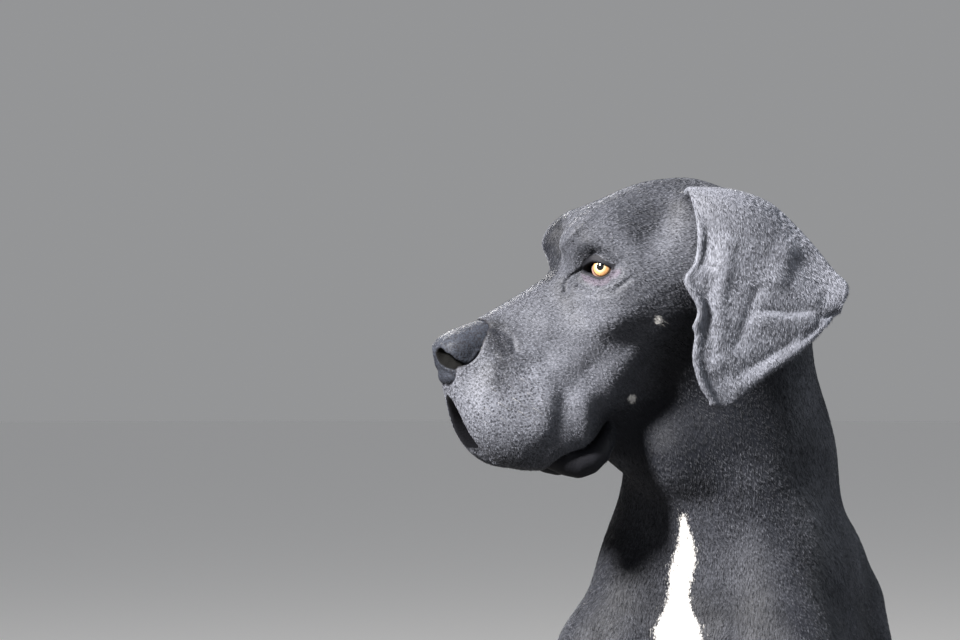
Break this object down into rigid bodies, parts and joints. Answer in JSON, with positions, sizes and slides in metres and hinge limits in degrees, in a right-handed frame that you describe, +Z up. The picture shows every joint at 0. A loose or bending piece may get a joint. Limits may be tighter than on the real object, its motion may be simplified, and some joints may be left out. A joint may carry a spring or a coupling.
{
  "type": "great dane",
  "caption": "Life-size still model of a sitting great dane with a short steel-blue coat, its head turned to its right and its ears hanging.",
  "frame": {"origin": "on the floor, below the middle of the dog's bounding box", "axes": "+Z up, -Y the way the chest faces, +X the dog's left side"},
  "size_m": [0.463, 0.8904, 1.0538],
  "materials": {
    "coat": "short glossy steel-blue hair that lies flat",
    "dark_skin": "moist, finely pebbled blue-black skin",
    "eyeball": "wet amber iris with a dark pupil"
  },
  "bodies": {
    "root": {"head": "coat", "lower_jaw": "dark_skin", "nose": "dark_skin", "eye_left": "eyeball", "eye_right": "eyeball", "ear_left": "coat", "ear_right": "coat", "neck": "coat", "torso": "coat", "forearm_left": "coat", "forearm_right": "coat", "fore_paw_left": "coat", "fore_paw_right": "coat", "thigh_left": "coat", "thigh_right": "coat", "shank_left": "coat", "shank_right": "coat", "hind_paw_left": "coat", "hind_paw_right": "coat", "tail_base": "coat", "tail_tip": "coat"}
  },
  "joints": []
}
